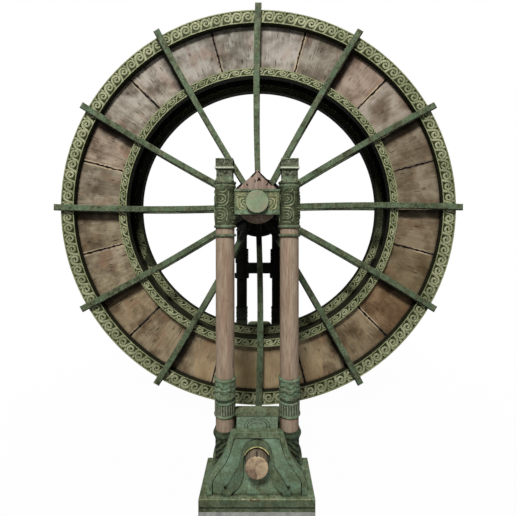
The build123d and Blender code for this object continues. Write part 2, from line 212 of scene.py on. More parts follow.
def patina(name, tones, patch, patch_size, fleck, streak=0.3, marks=None, reach=0.045, speckle=1.0):
    """Bronze under verdigris: tones from dark to light, patches of another green, flecks, and dirt with
    painted shade and painted highlights.

    The mottle has patches of about 70 mm, the rust flecks about 90 mm and the
    grain 24 mm, coarser than real crystals so that it shows.
    """
    made, put, place = new_material(name)
    drift = put("TexNoise", place, Scale=2.6, Detail=5.0, Roughness=0.6)
    cloud = put("TexNoise", place, Scale=1 / patch_size, Detail=9.0, Roughness=0.68, Distortion=0.6)
    drawn_out = put("Mapping", place, Scale=(15, 15, 15 / (1 + 2 * streak)))
    mottle = put("TexNoise", drawn_out, Scale=1.0, Detail=10.0, Roughness=0.72)
    rust = put("TexNoise", place, Scale=11.0, Detail=8.0, Roughness=0.72)
    grain = put("TexNoise", place, Scale=42.0, Detail=8.0, Roughness=0.7)
    tone = put("ValToRGB", mottle, stops=((0.4, tones[0]), (0.5, tones[1]), (0.6, tones[2])))
    tone = patches(put, tone, cloud, 0.46, 0.58, "#f0f0f0", patch)
    if marks:
        tone = marks(put, place, tone, mottle)
    tone = darken(put, tone, 0.7, drift, (0.35, "#b4b4aa"), (0.62, "#ffffff"))
    tone = patches(put, tone, rust, 0.62, 0.7, "#b0b0b0", fleck)
    tone = darken(put, tone, 0.7 * speckle, grain, (0.38, "#94968b"), (0.52, "#eeeeea"), (0.64, "#ffffff"))
    tone = put("MixRGB ADD", put("MapRange", grain, 0.56, 0.72, To_Max=0.35 * speckle), tone, "#6e7866")
    # Pale edges: wear, and a painted highlight
    tone = put("MixRGB", worn_and_highlit_edge(put, place), tone, "#8b9070")
    # Dirt and painted shade in corners, then painted shade on the stands' wheel sides
    tone = wheel_side_shade(put, place, grime_and_shade(put, tone, reach))
    coat(made, tone, 0.62, put("Math ADD", mottle, grain), 0.005)
    return made


def base_marks(put, place, tone, mottle):
    """Teal in the sunk fields behind the raised bands, brown low down in them, and darker hoods."""
    z = put("SeparateXYZ", place).outputs[2]
    depth = stand_depth(put, place)
    field = within(put, depth, base_face - face_recess - close, base_face - face_recess + close)
    tone = tint(put, tone, field, "#819a7f", 0.5)
    pool = put("TexNoise", put("Mapping", place, Location=(3, 5, 1)), Scale=5.0, Detail=9.0, Roughness=0.68)
    tone = tint(put, tone, all_of(put, field, put("MapRange", pool, 0.46, 0.6)), "#93b399", 0.65)
    hood = put("Math GREATER_THAN", depth, base_face + close)
    tone = tint(put, tone, hood, "#424f3a", 0.45)
    low = put("MapRange", z, log_z + 0.12, log_z - 0.16)
    brown = put("MapRange", mottle, 0.47, 0.62)
    return tint(put, tone, all_of(put, field, low, brown), "#5b5534", 0.75)


def crest_marks(put, place, tone, mottle):
    """Light teal on the upright panel, a dark double arch on it, brown wear on the slab above."""
    x, _, z = put("SeparateXYZ", place).outputs
    panel = within(put, z, panel_top - panel_height, panel_top - close)
    tone = tint(put, tone, panel, "#9db59b", 0.75)
    rise = put("Math MULTIPLY", put("Math SUBTRACT", z, panel_top - arch_drop), arch_half / arch_rise)
    sweep = put("VectorMath LENGTH", put("CombineXYZ", x, rise)).outputs["Value"]
    below_slab = put("Math LESS_THAN", z, panel_top - close)
    for outer in (arch_half, arch_half - arch_step):
        line = within(put, sweep, outer - arch_line, outer)
        tone = tint(put, tone, all_of(put, line, below_slab), "#303b28", 0.85)
    slab = put("Math GREATER_THAN", z, panel_top)
    return tint(put, tone, all_of(put, slab, put("MapRange", mottle, 0.4, 0.6)), "#7c7757", 0.5)


def plinth_marks(put, place, tone, mottle):
    """Painted shade on the upright faces, a light top edge that is partly worn and partly a painted
    highlight, and on it a rust-red scar and a rubbed line.
    """
    x, _, z = put("SeparateXYZ", place).outputs
    # Painted shade: the upright faces darker than the top
    tone = tint(put, tone, put("Math LESS_THAN", z, plinth_z - 0.006), "#3d4833", 0.55)
    # A light top edge, partly worn and partly a painted highlight
    worn_and_lit_top_edge = within(put, z, plinth_z - 0.007, plinth_z - 0.0005)
    tone = tint(put, tone, all_of(put, worn_and_lit_top_edge, put("MapRange", mottle, 0.46, 0.56)), "#8f9468", 0.8)
    edge = put("Math GREATER_THAN", stand_depth(put, place), plinth_half - plinth_edge)
    scar = all_of(put, edge, within(put, z, plinth_z - 0.02, plinth_z + 0.002), within(put, x, *scar_ends))
    tone = tint(put, tone, all_of(put, scar, put("MapRange", mottle, 0.47, 0.53)), "#4c2c1c", 0.9)
    rub = all_of(put, edge, within(put, z, plinth_z - 0.006, plinth_z + 0.001), within(put, x, *rub_ends))
    return tint(put, tone, all_of(put, rub, put("MapRange", mottle, 0.52, 0.46)), "#c4b692", 0.8)


# Cast bronze with a thick verdigris: soft olive green, teal where water stood, rust flecks
base_bronze = patina(
    "base_verdigris", ("#566146", "#727d60", "#8f9a7c"),
    patch="#7a957a", patch_size=0.17, fleck="#6a613d", marks=base_marks, speckle=0.65,
)
clad(base_bronze, "front_base", "back_base")
# The same bronze higher up, out of the wet: lighter, with more teal
crest_bronze = patina(
    "crest_verdigris", ("#646d54", "#7e876b", "#979f82"),
    patch="#8ba287", patch_size=0.2, fleck="#665f40", marks=crest_marks,
)
clad(crest_bronze, "front_crest", "back_crest")
# The same bronze near the ground: darker faces as painted shade, a pale top edge, partly worn and partly a
# painted highlight, and a rust-red scar
plinth_bronze = patina(
    "plinth_verdigris", ("#58624a", "#768163", "#919b7e"),
    patch="#80967a", patch_size=0.25, fleck="#5f573b", marks=plinth_marks, speckle=0.75,
)
clad(plinth_bronze, "front_plinth", "back_plinth")


# Gold rims on the bases
# A rubbed round rim along the upper edge of each hood's opening, over the log.
# It is cast with the hood.
def relief(name, lines, girth, made):
    """Raised lines through points in metres as one finished piece, thinner at their ends."""
    bpy.ops.object.select_all(action="DESELECT")
    bpy.ops.curve.primitive_nurbs_path_add(location=(0, 0, 0))
    piece = bpy.context.object
    piece.name = name
    piece.data.splines.clear()
    for line in lines:
        spline = piece.data.splines.new("NURBS")
        spline.points.add(len(line) - 1)
        for order, (dot, point) in enumerate(zip(spline.points, line)):
            dot.co = (*point, 1)
            dot.radius = 0.55 if order in (0, len(line) - 1) else 1.0
        spline.use_endpoint_u = True
        spline.order_u = 3
        spline.resolution_u = 4
    piece.data.dimensions = "3D"
    piece.data.bevel_depth = girth / 2
    piece.data.bevel_resolution = 1
    piece.data.use_fill_caps = True
    bpy.ops.object.convert(target="MESH")
    piece = bpy.context.object
    bpy.ops.object.transform_apply(location=True, rotation=True, scale=True)
    bpy.ops.object.shade_smooth()
    piece.data.materials.clear()
    piece.data.materials.append(made)
    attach(piece, "frame")


# Rubbed gilding: warm pale gold, worn to green in places
gilding, put, place = new_material("rubbed_gilding")
wear = put("TexNoise", place, Scale=30.0, Detail=5.0)
tone = put("ValToRGB", wear, stops=((0.36, "#7d7f55"), (0.5, "#b8ad72"), (0.62, "#dccf94")))
coat(gilding, tone, 0.5, wear, 0.001)
rim_radius = 0.139
rim_girth = 0.014
rim_proud = 0.009
turns = [math.radians(degree) for degree in range(22, 159, 8)]
for side, sign in (("front", -1), ("back", 1)):
    rims = []
    for face in (-1, 1):
        rim_y = sign * stand_middle + face * (base_face + rim_proud)
        rims.append(
            [(rim_radius * math.cos(turn), rim_y, log_z + rim_radius * math.sin(turn)) for turn in turns]
        )
    relief(f"{side}_hood_rim", rims, rim_girth, gilding)


# Log stubs
# Round timbers with their bark on, hewn at both ends with an axe. They pass
# through the bases and stand out at both faces.
stub_end = 0.397
pith_left = 0.018
pith_rise = 0.02
facet_count = 7
split_depth = 0.085

# Hewn timber: cream on the facets towards the upper right and pink-brown below, as painted light and shade,
# grey-brown bark round the outside, and one dark split from the pith up
stub_timber, put, place = new_material("hewn_stub_timber")
x, _, z = put("SeparateXYZ", place).outputs
across = put("Math ADD", x, pith_left)
up = put("Math SUBTRACT", z, log_z + pith_rise)
warp = put("TexNoise", place, Scale=14.0, Detail=4.0)
turn = put("Math ADD", put("Math ARCTAN2", up, across), put("Math MULTIPLY", warp, 0.9))
turn = put("Math MULTIPLY", turn, facet_count / (2 * math.pi))
facet = put("TexWhiteNoise", noise_dimensions="1D", W=put("Math ADD", put("Math FLOOR", turn), 3.0))
facet = put("SeparateXYZ", facet.outputs["Color"]).outputs[0]
blotch = put("TexNoise", place, Scale=17.0, Detail=7.0, Roughness=0.65)
# Painted light and shade: lighter towards the upper right of the hewn end
painted_light_slope = put("Math ADD", put("Math MULTIPLY", across, 1.6), put("Math MULTIPLY", up, 1.2))
cut = put("Math ADD", put("Math MULTIPLY", facet, 0.22), put("Math ADD", blotch, painted_light_slope))
tone = put("ValToRGB", cut, stops=((0.34, "#6f5a4b"), (0.56, "#96806a"), (0.82, "#bda886")))
fibre = put("TexNoise", put("Mapping", place, Scale=(60, 5, 60)), Scale=1.0, Detail=5.0)
bark = put("ValToRGB", fibre, stops=((0.35, "#5c5347"), (0.5, "#7a6c5c"), (0.66, "#8d7f6f")))
depth = stand_depth(put, place)
tone = put("MixRGB", put("Math GREATER_THAN", depth, stub_end - 0.008), bark, tone)
crooked = put("Math ADD", x, put("Math MULTIPLY", warp, 0.02))
split = within(put, depth, stub_end - split_depth, stub_end - close)
split = all_of(put, within(put, crooked, 0.003, 0.017), split, put("Math GREATER_THAN", z, log_z))
tone = tint(put, tone, split, "#1d1612", 0.95)
# Dirt and painted shade in corners
coat(stub_timber, grime_and_shade(put, tone, 0.05, "#2a2219"), 0.8, put("Math ADD", cut, fibre), 0.003)
clad(stub_timber, "front_log_stub", "back_log_stub")


# Posts
# Round shafts of close-grained timber, oiled and stained red in places.
# They stand in the foot sleeves and carry the capitals.
def long_grain(name, tones, stain, along, across, axis="Z", wheel_side_shaded=False):
    """Timber along its length: streaks, wider stained bands, short dark checks, dirt with painted shade in
    corners, and painted shade on the wheel side where asked.
    """
    made, put, place = new_material(name)
    stretch = [along if way == axis else across for way in "XYZ"]
    band_stretch = [share / 5 for share in stretch]
    check_stretch = [share * 1.7 for share in stretch]
    streak = put("TexNoise", put("Mapping", place, Scale=stretch), Scale=1.0, Detail=6.0, Roughness=0.65)
    band = put("TexNoise", put("Mapping", place, Scale=band_stretch), Scale=1.0, Detail=3.0)
    check = put("TexNoise", put("Mapping", place, Scale=check_stretch), Scale=1.0, Detail=2.0)
    tone = put("ValToRGB", streak, stops=((0.34, tones[0]), (0.5, tones[1]), (0.66, tones[2])))
    tone = patches(put, tone, band, 0.52, 0.66, "#9a9a9a", stain)
    tone = tint(put, tone, put("MapRange", check, 0.33, 0.28), "#3d3026", 0.6)
    # Dirt and painted shade in corners
    tone = grime_and_shade(put, tone, 0.06, "#2a1e16")
    # Painted shade on the sides that look at the wheel
    if wheel_side_shaded:
        tone = wheel_side_shade(put, place, tone)
    coat(made, tone, 0.72, streak, 0.0015)
    return made


# Oiled elm: grey-brown with reddish stains. Its upright grain is drawn 20 mm wide,
# coarser than real, so that it shows.
post_timber = long_grain(
    "oiled_elm", ("#836f5c", "#958370", "#a5937f"), stain="#8a6552", along=6.0, across=50, wheel_side_shaded=True,
)
clad(post_timber, "front_left_post", "front_right_post")
# The same timber behind the wheel, painted near black as shade
shaded_back_timber = long_grain(
    "painted_shade_elm", ("#1c1815", "#28221d", "#352d26"), stain="#201814", along=1.5, across=45, wheel_side_shaded=True,
)
clad(shaded_back_timber, "back_left_post", "back_right_post")


# Foot sleeves, lower sleeves and capitals
# Bronze castings on the posts: carved sleeves with ridges, flutes and rims, each
# slipped over the shaft from above.
post_x = (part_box("front_right_post")[0].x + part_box("front_right_post")[1].x) / 2
axle_z = (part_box("axle_log")[0].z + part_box("axle_log")[1].z) / 2
flute_radius = 0.1175
lip_radius = 0.1205
# From here to there above the axle
low_stage = (0.286, 0.36)
high_stage = (0.406, 0.477)
pale_fillet = (0.374, 0.392)
carved_sleeve = (-0.262, 0.15)
# From here to there above the plinth
flute_hollows = (0.76, 0.876)
flute_ridges = (0.76, 0.872)
shaded_neck = (0.901, 0.936)
leaf_field = (0.966, 1.125)
gouge_top = 0.475


def from_post(put, place):
    """Distance from the nearest post's middle line, the angle round it, and the height."""
    x, y, z = put("SeparateXYZ", place).outputs
    u = put("Math SUBTRACT", put("Math ABSOLUTE", x), post_x)
    v = put("Math SUBTRACT", put("Math ABSOLUTE", y), stand_middle)
    radius = put("VectorMath LENGTH", put("CombineXYZ", u, v)).outputs["Value"]
    return radius, put("Math ARCTAN2", v, u), z


def chased(put, place, scale, low, high):
    """Close chased ornament: worn leaf shapes over a dark ground, as one value."""
    twist = put("TexNoise", place, Scale=scale * 0.7, Detail=2.0).outputs["Color"]
    bent = put("MixRGB", 0.06, place, twist)
    leaf = put("TexVoronoi", bent, feature="SMOOTH_F1", Scale=scale, Smoothness=0.3)
    return put("MapRange", leaf, high, low)


def capital_marks(put, place, tone, mottle):
    """Chased panels in the square stages, a pale rubbed fillet and a dark ground on the sleeve."""
    rise = put("Math SUBTRACT", from_post(put, place)[2], axle_z)
    squares = put("Math MAXIMUM", within(put, rise, *low_stage), within(put, rise, *high_stage))
    tone = tint(put, tone, squares, "#2a2e1d", 0.92)
    tone = tint(put, tone, all_of(put, squares, chased(put, place, 38.0, 0.1, 0.75)), "#8d9079", 0.85)
    tone = tint(put, tone, within(put, rise, *pale_fillet), "#d3d5c2", 0.95)
    sleeve = within(put, rise, *carved_sleeve)
    tone = tint(put, tone, sleeve, "#30361f", 0.85)
    return tint(put, tone, all_of(put, sleeve, chased(put, place, 26.0, 0.1, 0.8)), "#6a7055", 0.7)


def sleeve_marks(put, place, tone, mottle):
    """Painted shade in the hollows between the flutes and under the rims, painted highlights on the ridges
    and the lip, leaf shapes in low relief above.
    """
    radius, turn, z = from_post(put, place)
    level = put("Math SUBTRACT", z, plinth_z)
    sunk = put("Math LESS_THAN", radius, flute_radius)
    proud = put("Math GREATER_THAN", radius, flute_radius)
    # Painted shade in the flute hollows, painted highlights on the ridges between them
    tone = tint(put, tone, all_of(put, within(put, level, *flute_hollows), sunk), "#3a3e2e", 0.7)
    tone = tint(put, tone, all_of(put, within(put, level, *flute_ridges), proud), "#a7a993", 0.85)
    # Painted shade under the lip
    tone = tint(put, tone, within(put, level, *shaded_neck), "#2c3322", 0.8)
    lobes = put("Math ABSOLUTE", put("Math SINE", put("Math MULTIPLY", turn, 3.0)))
    wave = put("Math ADD", put("Math MULTIPLY", lobes, 3.0), put("Math MULTIPLY", level, 105.0))
    leaf = put("MapRange", put("Math SINE", wave), 0.35, 0.95)
    tone = tint(put, tone, all_of(put, within(put, level, *leaf_field), leaf), "#39432f", 0.8)
    # Painted highlight on the lip
    return tint(put, tone, put("Math GREATER_THAN", radius, lip_radius), "#7f8c70", 0.5)


def gouge_marks(put, place, tone, mottle):
    """Slanting gouge cuts: dark hollows with light lips."""
    _, turn, z = from_post(put, place)
    warp = put("TexNoise", place, Scale=12.0, Detail=3.0)
    slant = put("Math ADD", put("Math MULTIPLY", turn, -9.0), put("Math MULTIPLY", z, 100.0))
    wave = put("Math SINE", put("Math ADD", slant, put("Math MULTIPLY", warp, 8.0)))
    below = put("Math LESS_THAN", put("Math SUBTRACT", z, plinth_z), gouge_top)
    tone = tint(put, tone, all_of(put, below, put("MapRange", wave, -0.1, -0.7)), "#14180e", 0.9)
    return tint(put, tone, all_of(put, below, put("MapRange", wave, 0.45, 0.9)), "#66714f", 0.7)


# Verdigris on carved bronze: grey-green, with dark grounds under pale worn ornament
capital_bronze = patina(
    "carved_verdigris", ("#50573f", "#6a7158", "#868c72"),
    patch="#70846a", patch_size=0.1, fleck="#544c36", marks=capital_marks, reach=0.03,
)
# The same on the lower sleeves, more teal, with pale ridges between the flutes as a painted highlight
sleeve_bronze = patina(
    "sleeve_verdigris", ("#56614b", "#748065", "#909b81"),
    patch="#7d9c81", patch_size=0.09, fleck="#544f38", marks=sleeve_marks, reach=0.03,
)
# Old bronze at the ground: dark olive, nearly black in the hollows
foot_bronze = patina(
    "dark_olive_bronze", ("#2a3123", "#3d4632", "#505a43"),
    patch="#455846", patch_size=0.1, fleck="#2d2b1c", marks=gouge_marks, reach=0.03,
)
for side in ("front", "back"):
    for hand in ("left", "right"):
        clad(capital_bronze, f"{side}_{hand}_capital")
        clad(sleeve_bronze, f"{side}_{hand}_lower_sleeve")
        clad(foot_bronze, f"{side}_{hand}_foot_sleeve")


# Carved relief on the capital sleeves
# Hooked bands in half-round relief, nested one in another, the same on each post.
# They are cast with the sleeve.
sleeve_radius = 0.117
hook_girth = 0.021
# The hooks as seen from the front: millimetres right of the post's middle and above the axle
hook_lines = (
    ((30, 140), (20, 112), (-14, 101), (-52, 112)),
    ((-66, 78), (-14, 80), (14, 58), (24, 29), (12, 0), (-24, -18), (-66, -13)),
    ((-38, 48), (-16, 43), (-8, 24), (-26, 7), (-48, 9)),
    ((46, 118), (54, 66), (50, 14), (32, -30), (-14, -51), (-66, -46)),
    ((-105, -72), (-51, -66), (9, -76), (36, -108), (40, -157), (28, -222)),
    ((-84, -103), (-26, -101), (8, -122), (16, -155), (-4, -186), (-51, -195), (-92, -184)),
    ((-61, -140), (-26, -135), (-9, -152), (-24, -172), (-61, -172)),
    ((-92, -234), (-40, -218), (6, -238)),
)


def round_sleeve(across, up, centre_x, centre_y, turn):
    """A point in millimetres on the flat, laid round a sleeve."""
    angle = across / 1000 / sleeve_radius + turn
    x = centre_x + sleeve_radius * math.sin(angle)
    return x, centre_y - sleeve_radius * math.cos(angle), axle_z + up / 1000


# Carving that hands reach: the sleeve's green rubbed pale
relief_tone = patina(
    "rubbed_carving", ("#6a7052", "#8a8f6f", "#a9ab8c"),
    patch="#7d8c70", patch_size=0.08, fleck="#55503a", reach=0.012,
)
for side, sign in (("front", -1), ("back", 1)):
    for hand, way in (("left", -1), ("right", 1)):
        wrapped = []
        for quarter in range(4):
            turn = quarter * math.pi / 2
            for line in hook_lines:
                wrapped.append([round_sleeve(*dot, way * post_x, sign * stand_middle, turn) for dot in line])
        relief(f"{side}_{hand}_capital_hooks", wrapped, hook_girth, relief_tone)


# Bearings and gudgeons
# Green bronze blocks that hold the axle's pins, with round caps outside them, and
# bracket-shaped bands cast on both faces.
worn_field = (-0.098, 0.112)


def bearing_marks(put, place, tone, mottle):
    """A cream-worn field with dark spots, between a green band above and another below."""
    rise = put("Math SUBTRACT", put("SeparateXYZ", place).outputs[2], axle_z)
    field = within(put, rise, *worn_field)
    tone = tint(put, tone, all_of(put, field, put("MapRange", mottle, 0.4, 0.55)), "#84845f", 0.7)
    return tint(put, tone, all_of(put, field, put("Math LESS_THAN", mottle, 0.43)), "#484a34", 0.6)


# Verdigris on the blocks: mid green, worn to cream between the bands
bearing_bronze = patina(
    "bearing_verdigris", ("#566249", "#717c61", "#8b967a"),
    patch="#769377", patch_size=0.12, fleck="#5e5738", marks=bearing_marks, reach=0.03,
)
clad(bearing_bronze, "front_bearing", "back_bearing")
# Smooth turned caps: an even pale green with a few brown patches
cap_bronze = patina(
    "cap_verdigris", ("#8a9b7c", "#93a485", "#9aab8c"),
    patch="#9f9c84", patch_size=0.14, fleck="#96866c", speckle=0.3,
)
clad(cap_bronze, "front_gudgeon", "back_gudgeon")
# Raised bands that rub on everything: cream yellow bronze
cream_bronze = patina(
    "cream_bronze", ("#a19e72", "#c3bf92", "#d8d5b2"),
    patch="#a3ac84", patch_size=0.06, fleck="#6a6336", reach=0.012,
)
bracket_girth = 0.019
bracket_sunk = 0.009
# The brackets on one side: millimetres from the axle, across and up
bracket_lines = (
    ((-128, 84), (-222, 84), (-226, 74)),
    ((-122, 64), (-200, 66), (-228, 60), (-228, 44)),
    ((-216, 40), (-218, -20), (-214, -64), (-196, -84), (-158, -90)),
    ((-140, 38), (-184, 32), (-196, 10), (-190, -26), (-170, -58), (-152, -70)),
    ((-134, 14), (-158, 8), (-162, -14), (-148, -34), (-136, -36)),
)


def on_face(lines, way, face_y):
    """Lines in millimetres from the axle as points on an upright face, mirrored where way is -1."""
    return [[(way * across / 1000, face_y, axle_z + up / 1000) for across, up in line] for line in lines]


for side in ("front", "back"):
    low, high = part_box(f"{side}_bearing")
    lines = []
    for face_y in (low.y + bracket_sunk, high.y - bracket_sunk):
        for way in (-1, 1):
            lines += on_face(bracket_lines, way, face_y)
    relief(f"{side}_bearing_brackets", lines, bracket_girth, cream_bronze)


# Gable boards
# Pink-brown boards with a pointed top, fixed to the bearings' backs. They have
# split along both edges and at the knots.
def plain(name, shade, roughness):
    """A material of one colour."""
    made = new_material(name)[0]
    shader = made.node_tree.nodes["Principled BSDF"]
    shader.inputs["Base Color"].default_value = linear(shade)
    shader.inputs["Roughness"].default_value = roughness
    return made


# Dry cedar: pink-brown and matt, with wide upright grain
gable_timber = long_grain(
    "pink_cedar", ("#77645a", "#8f7b6e", "#a18e82"), stain="#865c4e", along=2.0, across=30,
)
clad(gable_timber, "front_gable_board", "back_gable_board")
# The dark inside a split
split_dark = plain("split_shadow", "#17100c", 0.95)
split_girth = 0.019
# The splits: millimetres from the axle, across and up
split_lines = (
    ((-10, 366), (-40, 338), (-58, 318), (-74, 304)),
    ((8, 372), (52, 326), (104, 276), (150, 230), (176, 200)),
    ((-130, 226), (-120, 214), (-114, 200)),
    ((104, 204), (118, 222), (132, 236)),
    ((-28, 272), (-30, 256), (-26, 240)),
    ((16, 296), (12, 276), (2, 252)),
    ((18, 298), (28, 272), (40, 258)),
    ((8, 268), (26, 270), (34, 264)),
)
for side in ("front", "back"):
    low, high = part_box(f"{side}_gable_board")
    lines = on_face(split_lines, 1, low.y) + on_face(split_lines, 1, high.y)
    relief(f"{side}_gable_splits", lines, split_girth, split_dark)


# Axle
# One round log, peeled and weathered, with bronze pins let into its ends. It runs
# through both hubs.

# Weathered log: dusty brown with long grain lines
log_timber = long_grain(
    "weathered_log", ("#6b5c50", "#8d7c6c", "#a89684"), stain="#7a5c4c", along=1.2, across=22, axis="Y",
)
clad(log_timber, "axle_log")


# Scroll rings
# Bronze hoops with a running scroll cast between two plain rails, on both faces.
# The rails are worn pale; the ground of the channel is dark olive.
rail_width = 0.016
channel_depth = 0.012
scroll_gap = 0.002
ring_inner_face = 0.24
relief_inner_face = 0.25
# How far below the axle the painted shade inside the wheel starts and becomes full
shade_drop = (0.75, 0.3)


def from_axle(put, place):
    """Right of and above the axle's middle line, and the distance from it."""
    x, y, z = put("SeparateXYZ", place).outputs
    rise = put("Math SUBTRACT", z, axle_z)
    return x, rise, put("VectorMath LENGTH", put("CombineXYZ", x, rise)).outputs["Value"]


def inside(put, place, reach):
    """One on faces nearer the wheel's middle than reach, where shade is painted: above the axle, and in
    patches below that stand for shadows.
    """
    _, y, z = put("SeparateXYZ", place).outputs
    shaded_above = put("MapRange", z, *(axle_z - drop for drop in shade_drop))
    patch = put("MapRange", put("TexNoise", place, Scale=1.5, Detail=2.0), 0.6, 0.64)
    near = put("Math LESS_THAN", put("Math ABSOLUTE", y), reach)
    return all_of(put, put("Math MAXIMUM", shaded_above, patch), near)


def hoop_bronze(name, inner, outer):
    """Pale rails and a dark ground, told apart by the distance from the axle, with painted shade on the
    inner wall and on the faces that look into the wheel.
    """
    made, put, place = new_material(name)
    radius = from_axle(put, place)[2]
    offside = put("Math ABSOLUTE", put("Math SUBTRACT", radius, (inner + outer) / 2))
    on_rail = put("Math GREATER_THAN", offside, (outer - inner) / 2 - rail_width - 0.001)
    drift = put("TexNoise", place, Scale=5.0, Detail=5.0)
    grain = put("TexNoise", place, Scale=70.0, Detail=5.0)
    pale = put("ValToRGB", grain, stops=((0.35, "#6b704e"), (0.5, "#898d67"), (0.64, "#a4a782")))
    dark = put("ValToRGB", grain, stops=((0.35, "#23280f"), (0.6, "#363c1f")))
    tone = put("MixRGB", on_rail, dark, pale)
    tone = darken(put, tone, 0.5, drift, (0.35, "#a9b39a"), (0.6, "#ffffff"))
    # Painted shade: the inner wall and the faces that look into the wheel go near black
    rim = put("Math LESS_THAN", radius, inner + 0.0015)
    shade_mask = put("Math MAXIMUM", rim, inside(put, place, ring_inner_face))
    coat(made, tint(put, tone, shade_mask, "#0b0c07", 0.95), 0.6, grain, 0.002)
    return made


# Worn high relief: pale yellow-green, darker in drifts, and painted black as shade where it looks into the
# wheel
scroll_relief, put, place = new_material("worn_scroll_bronze")
drift = put("TexNoise", place, Scale=4.0, Detail=4.0)
grain = put("TexNoise", place, Scale=80.0, Detail=5.0)
tone = put("ValToRGB", grain, stops=((0.34, "#737853"), (0.5, "#989a77"), (0.62, "#b4b596")))
tone = darken(put, tone, 0.6, drift, (0.35, "#8f9a7c"), (0.62, "#ffffff"))
# Painted shade where the scrolls look into the wheel
tone = tint(put, tone, inside(put, place, relief_inner_face), "#12130c", 0.9)
coat(scroll_relief, tone, 0.55, grain, 0.002)

# One wave of the scroll curls in on itself, with a leaf before it and a heel under it.
# Points are shares of its length and height, each with a share of its girth.
curl_turns = 1.42
curl_steps = 20
curl_start = 163
curl_middle = 0.03
curl_reach = 0.43
curl_shrink = 0.37
wave = [(-0.6, -0.52, 0.8), (-0.535, -0.38, 0.95), (-0.49, -0.2, 1.05), (-0.45, -0.02, 1.1)]
for step in range(curl_steps + 1):
    way = step / curl_steps
    angle = math.radians(curl_start) - 2 * math.pi * curl_turns * way
    reach = curl_reach - curl_shrink * way
    wave.append((curl_middle + reach * math.cos(angle), reach * math.sin(angle), 1.1 - 0.35 * way))
leaf = [(-0.62, 0.52, 0.9), (-0.57, 0.36, 0.8), (-0.52, 0.22, 0.45)]
heel = [(0.2, -0.53, 0.5), (0.3, -0.46, 0.8), (0.4, -0.53, 0.5)]


def scroll_band(name, middle, count, height, girth, ground_y):
    """A ring of running scrolls: one wave, copied round the axle."""
    bpy.ops.object.select_all(action="DESELECT")
    bpy.ops.curve.primitive_nurbs_path_add()
    motif = bpy.context.object
    motif.data.splines.clear()
    for points in (wave, leaf, heel):
        spline = motif.data.splines.new("POLY")
        spline.points.add(len(points) - 1)
        for dot, (u, v, share) in zip(spline.points, points):
            dot.co = (u * 2 * math.pi * middle / count, v * height, 0, 1)
            dot.radius = share
    motif.data.dimensions = "3D"
    motif.data.fill_mode = "FULL"
    motif.data.bevel_depth = girth / 2
    motif.data.bevel_resolution = 1
    motif.data.use_fill_caps = True
    bpy.ops.object.convert(target="MESH")
    motif = bpy.context.object
    motif.name = name
    bpy.ops.object.mode_set(mode="EDIT")
    bpy.ops.mesh.select_all(action="SELECT")
    flatten = 2 * (channel_depth - scroll_gap) / girth
    bpy.ops.transform.resize(value=(1, 1, flatten), center_override=(0, 0, 0))
    bpy.ops.transform.rotate(value=math.radians(-90), orient_axis="X", center_override=(0, 0, 0))
    bpy.ops.transform.translate(value=(0, ground_y, axle_z + middle))
    bpy.ops.mesh.spin(
        dupli=True, steps=count - 1, angle=2 * math.pi * (count - 1) / count,
        center=(0, ground_y, axle_z), axis=(0, 1, 0),
    )
    bpy.ops.mesh.select_all(action="SELECT")
    bpy.ops.mesh.normals_make_consistent(inside=False)
    bpy.ops.object.mode_set(mode="OBJECT")
    bpy.ops.object.transform_apply(location=True, rotation=True, scale=True)
    bpy.ops.object.shade_smooth()
    motif.data.materials.clear()
    motif.data.materials.append(scroll_relief)
    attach(motif, "wheel")


# Each ring's width from its inner to its outer edge, its number of scrolls and their girth
for ring, width, count, girth in (("outer_ring", 0.196, 112, 0.042), ("inner_ring", 0.119, 72, 0.027)):
    low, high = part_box(f"front_{ring}")
    outer = (high.x - low.x) / 2
    inner = outer - width
    height = outer - inner - 2 * rail_width
    # Old bronze, rubbed pale on the rails and dark olive in the channel
    clad(hoop_bronze(f"{ring}_bronze", inner, outer), f"front_{ring}", f"back_{ring}")
    for side, sign in (("front", 1), ("back", -1)):
        for face, face_y in (("out", low.y + channel_depth), ("in", high.y - channel_depth)):
            name = f"{side}_{ring}_scrolls_{face}"
            scroll_band(name, (outer + inner) / 2, count, height, girth, sign * face_y)


# Shroud boards
# Short planks set radially between the rings, weathered grey, each a little
# different in tone. Narrow seams part them.
spoke_count = 12
seams = 2 * spoke_count
spoke_bow = 0.03
spoke_middle = 1.75
spoke_half = 1.33
board_inner_face = 0.2345
arc_radius = 2.4


def below_spoke(put, place):
    """Metres below the nearest spoke's middle line, and a mask that leaves out upright spokes."""
    x, rise, radius = from_axle(put, place)
    share = put("Math MULTIPLY", put("Math ARCTAN2", rise, x), spoke_count / (2 * math.pi))
    off = put("Math SUBTRACT", put("Math FRACT", put("Math ADD", share, 0.5)), 0.5)
    over = put("Math MULTIPLY", put("Math MULTIPLY", off, 2 * math.pi / spoke_count), radius)
    part = put("Math DIVIDE", put("Math SUBTRACT", radius, spoke_middle), spoke_half)
    bow = put("Math MULTIPLY", put("Math SUBTRACT", 1.0, put("Math MULTIPLY", part, part)), spoke_bow)
    below = put("Math MULTIPLY", put("Math SUBTRACT", bow, over), put("Math SIGN", x))
    return below, put("MapRange", put("Math DIVIDE", put("Math ABSOLUTE", x), radius), 0.1, 0.4)


def along_planks(put, plank, *scales):
    """Coordinates that run out along a plank, from its arc, its radius and its number."""
    return put("CombineXYZ", *(put("Math MULTIPLY", part, scale) for part, scale in zip(plank, scales)))


